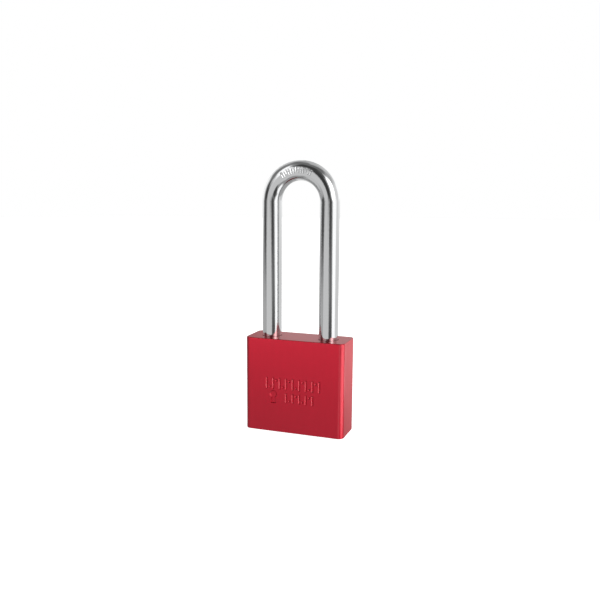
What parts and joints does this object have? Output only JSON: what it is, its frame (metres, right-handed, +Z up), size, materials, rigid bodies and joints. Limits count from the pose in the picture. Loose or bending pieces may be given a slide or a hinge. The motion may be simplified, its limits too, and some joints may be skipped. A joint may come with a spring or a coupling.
{
  "type": "keyed safety padlock",
  "caption": "Rectangular anodised aluminium block padlock with a tall round steel shackle held by two balls and a keyed pin cylinder in its base.",
  "frame": {"origin": "centre of the flat bottom face of the block", "axes": "+X along the width with the free toe leg at +X, -Y out of the front face, +Z up through the shackle"},
  "size_m": [0.0508, 0.019, 0.1327],
  "materials": {
    "red_anodised_aluminium": "satin red anodised",
    "polished_steel": "polished chrome plate",
    "hard_steel": "ground",
    "spring_steel": "drawn wire",
    "housing_brass": "machined",
    "plug_brass": "machined",
    "pin_brass": "turned",
    "cam_steel": "sintered",
    "screw_steel": "dark"
  },
  "bodies": {
    "body": {"lock_body": "red_anodised_aluminium", "cylinder_housing": "housing_brass", "chamber_cover": "housing_brass", "cylinder_screw": "screw_steel", "shackle_spring": "spring_steel", "cam_spring": "spring_steel", "pin_spring_1": "spring_steel", "pin_spring_2": "spring_steel", "pin_spring_3": "spring_steel", "pin_spring_4": "spring_steel", "pin_spring_5": "spring_steel", "pin_spring_6": "spring_steel"},
    "shackle": {"shackle": "polished_steel"},
    "plug": {"cylinder_plug": "plug_brass", "plug_clip": "spring_steel"},
    "cam": {"locking_cam": "cam_steel"},
    "toe_ball": {"toe_ball": "hard_steel"},
    "heel_ball": {"heel_ball": "hard_steel"},
    "driver_1": {"driver_pin_1": "hard_steel"},
    "key_pin_1": {"key_pin_1": "pin_brass"},
    "driver_2": {"driver_pin_2": "hard_steel"},
    "key_pin_2": {"key_pin_2": "pin_brass"},
    "driver_3": {"driver_pin_3": "hard_steel"},
    "key_pin_3": {"key_pin_3": "pin_brass"},
    "driver_4": {"driver_pin_4": "hard_steel"},
    "key_pin_4": {"key_pin_4": "pin_brass"},
    "driver_5": {"driver_pin_5": "hard_steel"},
    "key_pin_5": {"key_pin_5": "pin_brass"},
    "driver_6": {"driver_pin_6": "hard_steel"},
    "key_pin_6": {"key_pin_6": "pin_brass"}
  },
  "joints": [
    {"name": "shackle_lift", "type": "slide", "parent": "body", "child": "shackle", "axis": [0, 0, 1], "range_m": [0, 0.0155], "deforming": ["shackle_spring"]},
    {"name": "plug_turn", "type": "hinge", "parent": "body", "child": "plug", "pos_m": [0, 0, 0.0005], "axis": [0, 0, 1], "range_deg": [0, 90]},
    {"name": "cam_turn", "type": "hinge", "parent": "body", "child": "cam", "pos_m": [0, 0, 0.038], "axis": [0, 0, 1], "range_deg": [-90, 0], "deforming": ["cam_spring"]},
    {"name": "toe_ball_slide", "type": "slide", "parent": "body", "child": "toe_ball", "axis": [1, 0, 0], "range_m": [0, 0.00254]},
    {"name": "heel_ball_slide", "type": "slide", "parent": "body", "child": "heel_ball", "axis": [-1, 0, 0], "range_m": [0, 0.00159]},
    {"name": "driver_slide_1", "type": "slide", "parent": "body", "child": "driver_1", "axis": [1, 0, 0], "range_m": [-0.00152, 0], "deforming": ["pin_spring_1"]},
    {"name": "key_pin_slide_1", "type": "slide", "parent": "plug", "child": "key_pin_1", "axis": [1, 0, 0], "range_m": [-0.00152, 0]},
    {"name": "driver_slide_2", "type": "slide", "parent": "body", "child": "driver_2", "axis": [1, 0, 0], "range_m": [-0.00062, 0], "deforming": ["pin_spring_2"]},
    {"name": "key_pin_slide_2", "type": "slide", "parent": "plug", "child": "key_pin_2", "axis": [1, 0, 0], "range_m": [-0.00062, 0]},
    {"name": "driver_slide_3", "type": "slide", "parent": "body", "child": "driver_3", "axis": [1, 0, 0], "range_m": [-0.00122, 0], "deforming": ["pin_spring_3"]},
    {"name": "key_pin_slide_3", "type": "slide", "parent": "plug", "child": "key_pin_3", "axis": [1, 0, 0], "range_m": [-0.00122, 0]},
    {"name": "driver_slide_4", "type": "slide", "parent": "body", "child": "driver_4", "axis": [1, 0, 0], "range_m": [-0.00032, 0], "deforming": ["pin_spring_4"]},
    {"name": "key_pin_slide_4", "type": "slide", "parent": "plug", "child": "key_pin_4", "axis": [1, 0, 0], "range_m": [-0.00032, 0]},
    {"name": "driver_slide_5", "type": "slide", "parent": "body", "child": "driver_5", "axis": [1, 0, 0], "range_m": [-0.00172, 0], "deforming": ["pin_spring_5"]},
    {"name": "key_pin_slide_5", "type": "slide", "parent": "plug", "child": "key_pin_5", "axis": [1, 0, 0], "range_m": [-0.00172, 0]},
    {"name": "driver_slide_6", "type": "slide", "parent": "body", "child": "driver_6", "axis": [1, 0, 0], "range_m": [-0.00092, 0], "deforming": ["pin_spring_6"]},
    {"name": "key_pin_slide_6", "type": "slide", "parent": "plug", "child": "key_pin_6", "axis": [1, 0, 0], "range_m": [-0.00092, 0]}
  ],
  "couplings": [
    {"joint": "toe_ball_slide", "follows": "cam_turn", "m_per_rad": -0.001616},
    {"joint": "heel_ball_slide", "follows": "cam_turn", "m_per_rad": -0.001012},
    {"joint": "key_pin_slide_1", "follows": "driver_slide_1", "ratio": 1},
    {"joint": "key_pin_slide_2", "follows": "driver_slide_2", "ratio": 1},
    {"joint": "key_pin_slide_3", "follows": "driver_slide_3", "ratio": 1},
    {"joint": "key_pin_slide_4", "follows": "driver_slide_4", "ratio": 1},
    {"joint": "key_pin_slide_5", "follows": "driver_slide_5", "ratio": 1},
    {"joint": "key_pin_slide_6", "follows": "driver_slide_6", "ratio": 1}
  ]
}
